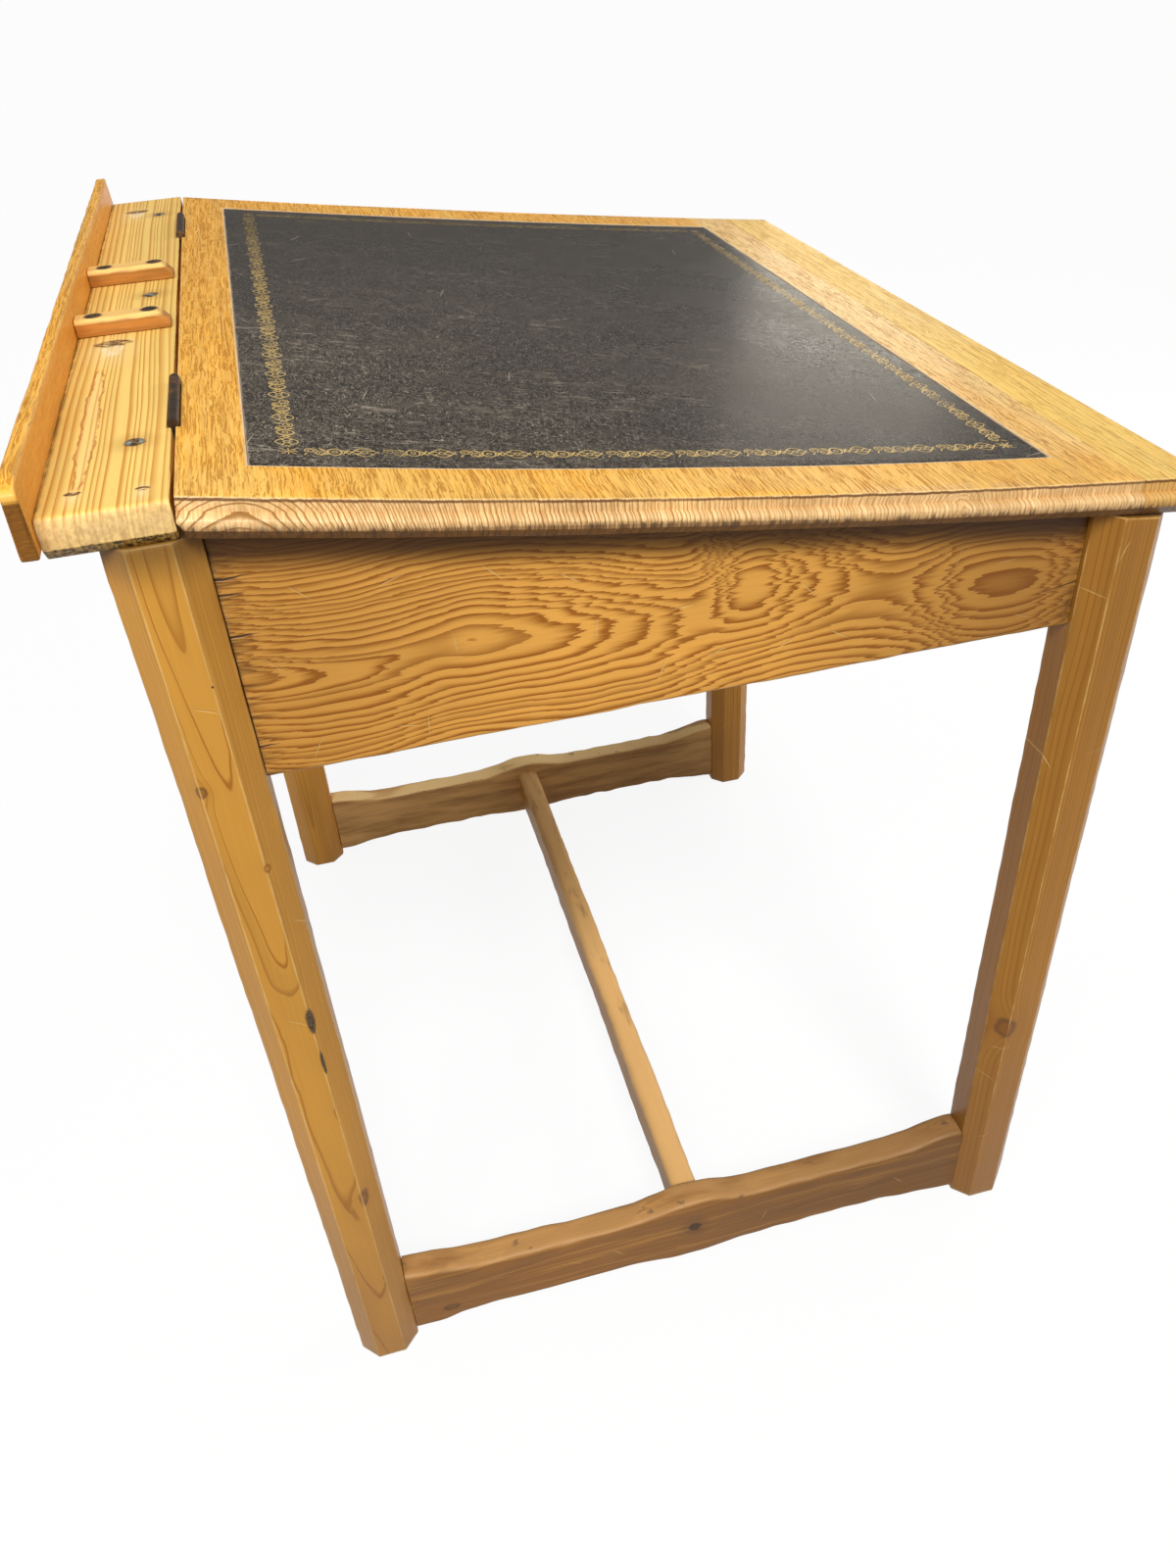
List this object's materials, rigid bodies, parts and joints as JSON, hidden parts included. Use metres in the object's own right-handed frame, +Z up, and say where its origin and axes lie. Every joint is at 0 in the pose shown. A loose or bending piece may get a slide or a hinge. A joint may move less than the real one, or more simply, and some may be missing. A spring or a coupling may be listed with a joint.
{
  "type": "writing desk",
  "caption": "Sloping writing desk with chamfered legs, a shallow well under a hinged leather-topped lid, a back shelf with pen rests and gallery, and low stretchers.",
  "frame": {"origin": "on the floor, under the middle of the desk's bounding box", "axes": "+X along the length of the desk, -Y towards the writer, +Z up"},
  "size_m": [0.778, 0.6738, 0.8228],
  "materials": {
    "leg_pine": "old wax, satin",
    "apron_pine": "old wax, satin",
    "stretcher_pine": "worn and dusty wax",
    "rough_pine": "bare, planed",
    "shelf_pine": "old varnish, satin",
    "rest_pine": "worn, nearly bare",
    "oak": "polished, worn",
    "hide": "smooth, satin, with a gilt tooled border",
    "screw_steel": "dulled",
    "hinge_iron": "dark, worn"
  },
  "bodies": {
    "frame": {"apron_back": "apron_pine", "apron_front": "apron_pine", "apron_left": "apron_pine", "apron_right": "apron_pine", "bearer_left": "rough_pine", "bearer_right": "rough_pine", "centre_rail": "stretcher_pine", "gallery": "oak", "gallery_screw_left": "screw_steel", "gallery_screw_middle": "screw_steel", "gallery_screw_right": "screw_steel", "hinge_leaf_fixed_left": "hinge_iron", "hinge_leaf_fixed_right": "hinge_iron", "hinge_pin_left": "hinge_iron", "hinge_pin_right": "hinge_iron", "hinge_screw_fixed_left_1": "screw_steel", "hinge_screw_fixed_left_2": "screw_steel", "hinge_screw_fixed_left_3": "screw_steel", "hinge_screw_fixed_right_1": "screw_steel", "hinge_screw_fixed_right_2": "screw_steel", "hinge_screw_fixed_right_3": "screw_steel", "leg_back_left": "leg_pine", "leg_back_right": "leg_pine", "leg_front_left": "leg_pine", "leg_front_right": "leg_pine", "pen_rest_left": "rest_pine", "pen_rest_right": "rest_pine", "pen_rest_screw_left_back": "screw_steel", "pen_rest_screw_left_front": "screw_steel", "pen_rest_screw_right_back": "screw_steel", "pen_rest_screw_right_front": "screw_steel", "shelf": "shelf_pine", "shelf_screw_left": "screw_steel", "shelf_screw_middle": "screw_steel", "shelf_screw_right": "screw_steel", "stretcher_left": "stretcher_pine", "stretcher_right": "stretcher_pine", "stretcher_screw_left": "screw_steel", "stretcher_screw_right": "screw_steel", "well_board_back": "rough_pine", "well_board_front": "rough_pine", "well_board_middle": "rough_pine"},
    "lid": {"hinge_leaf_lid_left": "hinge_iron", "hinge_leaf_lid_right": "hinge_iron", "hinge_screw_lid_left_1": "screw_steel", "hinge_screw_lid_left_2": "screw_steel", "hinge_screw_lid_left_3": "screw_steel", "hinge_screw_lid_right_1": "screw_steel", "hinge_screw_lid_right_2": "screw_steel", "hinge_screw_lid_right_3": "screw_steel", "leather_panel": "hide", "lid_board": "oak", "lid_lipping": "oak"}
  },
  "joints": [
    {"name": "lid_hinge", "type": "hinge", "parent": "frame", "child": "lid", "pos_m": [0, 0.2636, 0.8015], "axis": [-1, 0, 0], "range_deg": [0, 140]}
  ]
}
